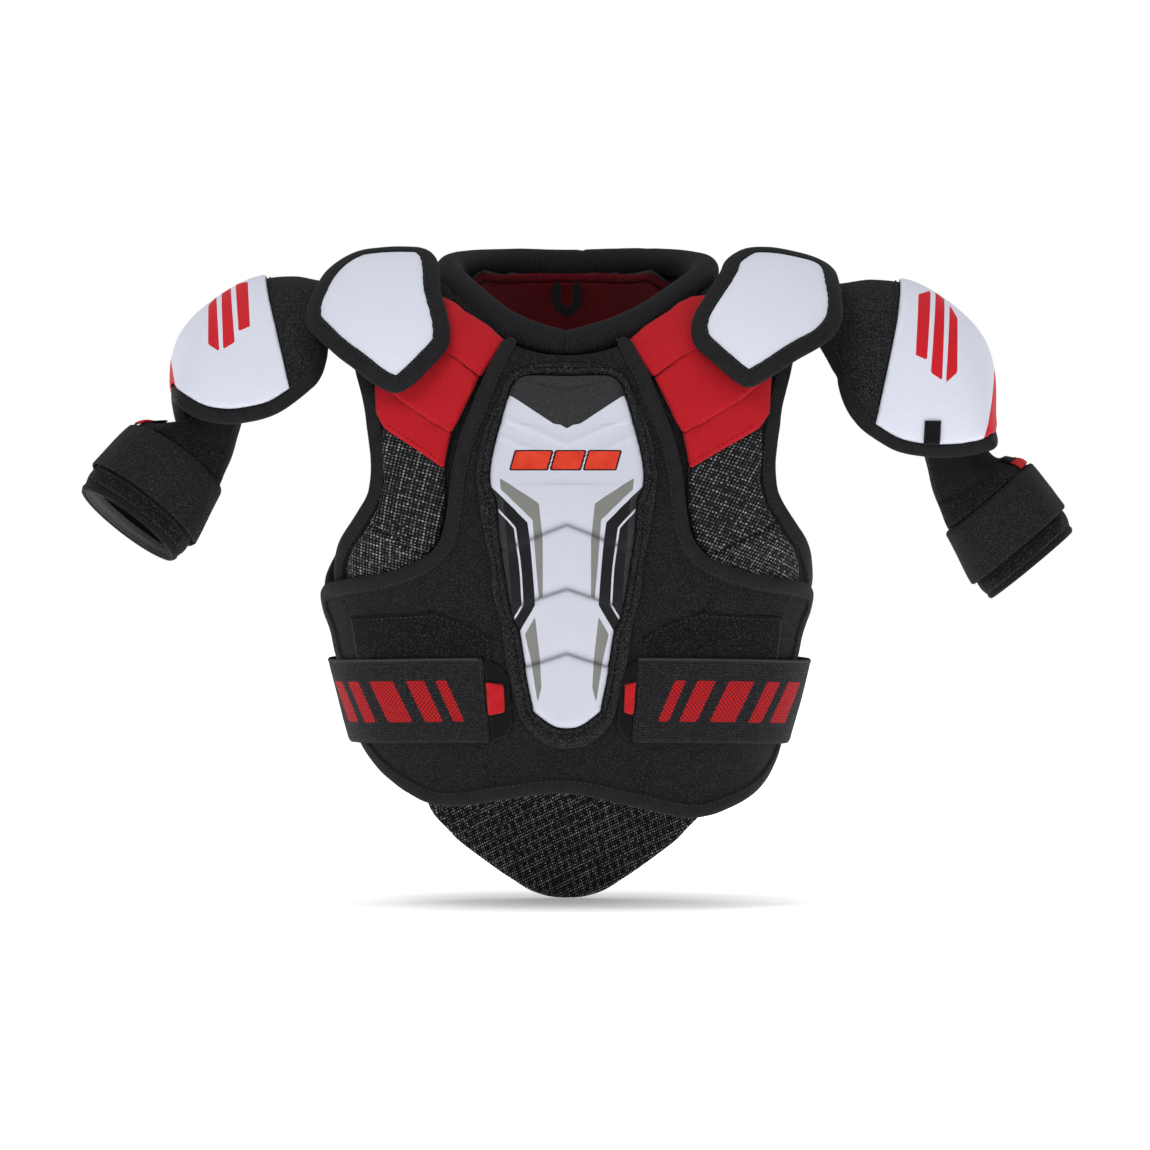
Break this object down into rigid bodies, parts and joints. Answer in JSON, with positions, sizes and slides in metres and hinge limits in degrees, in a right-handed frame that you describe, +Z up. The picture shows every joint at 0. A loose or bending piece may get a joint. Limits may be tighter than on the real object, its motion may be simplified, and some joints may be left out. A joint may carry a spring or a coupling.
{
  "type": "hockey shoulder pads",
  "caption": "Ice hockey shoulder pads: chest and back panels with sternum plate, hinged shoulder caps, swinging arm guards, bicep wraps and elastic straps",
  "frame": {"origin": "middle of the neck opening, at the height where the pads rest on the wearer's shoulders", "axes": "+Z up, -Y the way the wearer looks, +X the wearer's left"},
  "size_m": [0.7888, 0.2605, 0.5259],
  "materials": {
    "white_shell": "satin",
    "binding": "matte",
    "black_knit": "matte",
    "black_mesh": "matte",
    "red_twill": "matte",
    "red_liner": "matte",
    "foam": "matte",
    "black_elastic": "matte"
  },
  "bodies": {
    "torso": {"chest_panel": "black_knit", "chest_panel_binding": "binding", "sternum_plate": "white_shell", "sternum_border": "binding", "sternum_foam": "foam", "back_panel": "black_knit", "back_panel_binding": "binding", "back_liner": "red_liner", "spine_guard": "black_knit", "tail_pad": "black_mesh", "collar_roll": "black_knit", "hang_loop": "black_elastic", "left_yoke_pad": "black_knit", "left_yoke_binding": "binding", "left_clavicle_pad_upper": "red_twill", "left_clavicle_pad_middle": "red_twill", "left_clavicle_pad_lower": "red_twill", "left_rib_pad": "black_mesh", "left_loop_patch": "black_elastic", "left_shoulder_bridge": "black_knit", "left_scapula_pad": "black_knit", "left_waist_strap_anchor": "black_elastic", "right_yoke_pad": "black_knit", "right_yoke_binding": "binding", "right_clavicle_pad_upper": "red_twill", "right_clavicle_pad_middle": "red_twill", "right_clavicle_pad_lower": "red_twill", "right_rib_pad": "black_mesh", "right_loop_patch": "black_elastic", "right_shoulder_bridge": "black_knit", "right_scapula_pad": "black_knit", "right_waist_strap_anchor": "black_elastic"},
    "left_shoulder_cap": {"left_shoulder_cap_shell": "white_shell", "left_shoulder_cap_pad": "foam", "left_shoulder_cap_binding": "binding"},
    "left_tether": {"left_arm_tether": "black_knit"},
    "left_arm": {"left_arm_cap": "black_knit", "left_arm_cap_binding": "binding", "left_bicep_guard": "white_shell"},
    "left_wrap": {"left_bicep_wrap": "black_knit", "left_bicep_strap_anchor": "black_elastic", "left_wrap_adjuster": "red_twill"},
    "left_bicep_strap": {"left_bicep_strap": "black_elastic"},
    "left_waist_strap": {"left_waist_strap": "black_elastic", "left_waist_pull_tab": "red_twill"},
    "right_shoulder_cap": {"right_shoulder_cap_shell": "white_shell", "right_shoulder_cap_pad": "foam", "right_shoulder_cap_binding": "binding"},
    "right_tether": {"right_arm_tether": "black_knit"},
    "right_arm": {"right_arm_cap": "black_knit", "right_arm_cap_binding": "binding", "right_bicep_guard": "white_shell"},
    "right_wrap": {"right_bicep_wrap": "black_knit", "right_bicep_strap_anchor": "black_elastic", "right_wrap_adjuster": "red_twill"},
    "right_bicep_strap": {"right_bicep_strap": "black_elastic"},
    "right_waist_strap": {"right_waist_strap": "black_elastic", "right_waist_pull_tab": "red_twill"}
  },
  "joints": [
    {"name": "left_arm_swing", "type": "hinge", "parent": "torso", "child": "left_tether", "pos_m": [0.211, 0, 0.008], "axis": [1, 0, 0], "range_deg": [-30, 20]},
    {"name": "left_arm_lift", "type": "hinge", "parent": "left_tether", "child": "left_arm", "pos_m": [0.211, 0, 0.008], "axis": [0, -1, 0], "range_deg": [-8, 35]},
    {"name": "left_wrap_bend", "type": "hinge", "parent": "left_arm", "child": "left_wrap", "pos_m": [0.3138, 0, -0.0994], "axis": [0, 1, 0], "range_deg": [-5, 25]},
    {"name": "left_bicep_strap_peel", "type": "hinge", "parent": "left_wrap", "child": "left_bicep_strap", "pos_m": [0.38523, 0, -0.14721], "axis": [-0.6185, 0, 0.7858], "range_deg": [0, 90]},
    {"name": "left_shoulder_cap_flip", "type": "hinge", "parent": "torso", "child": "left_shoulder_cap", "pos_m": [0.148, -0.024, 0.034], "axis": [-1, 0, 0], "range_deg": [0, 70]},
    {"name": "left_waist_strap_peel", "type": "hinge", "parent": "torso", "child": "left_waist_strap", "pos_m": [0.189, 0, -0.315], "axis": [0, 0, 1], "range_deg": [0, 70]},
    {"name": "right_arm_swing", "type": "hinge", "parent": "torso", "child": "right_tether", "pos_m": [-0.1852, -0.00034, 0.00905], "axis": [1, 0, 0], "range_deg": [-10, 40]},
    {"name": "right_arm_lift", "type": "hinge", "parent": "right_tether", "child": "right_arm", "pos_m": [-0.1852, -0.00034, 0.00905], "axis": [0, 0.9397, -0.342], "range_deg": [-2, 35]},
    {"name": "right_wrap_bend", "type": "hinge", "parent": "right_arm", "child": "right_wrap", "pos_m": [-0.288, -0.03707, -0.09187], "axis": [0, -0.9397, 0.342], "range_deg": [-5, 25]},
    {"name": "right_bicep_strap_peel", "type": "hinge", "parent": "right_wrap", "child": "right_bicep_strap", "pos_m": [-0.36314, -0.04623, -0.11704], "axis": [-0.6734, -0.2528, -0.6947], "range_deg": [0, 90]},
    {"name": "right_shoulder_cap_flip", "type": "hinge", "parent": "torso", "child": "right_shoulder_cap", "pos_m": [-0.148, -0.024, 0.034], "axis": [-1, 0, 0], "range_deg": [0, 70]},
    {"name": "right_waist_strap_peel", "type": "hinge", "parent": "torso", "child": "right_waist_strap", "pos_m": [-0.189, 0, -0.315], "axis": [0, 0, -1], "range_deg": [0, 70]}
  ]
}
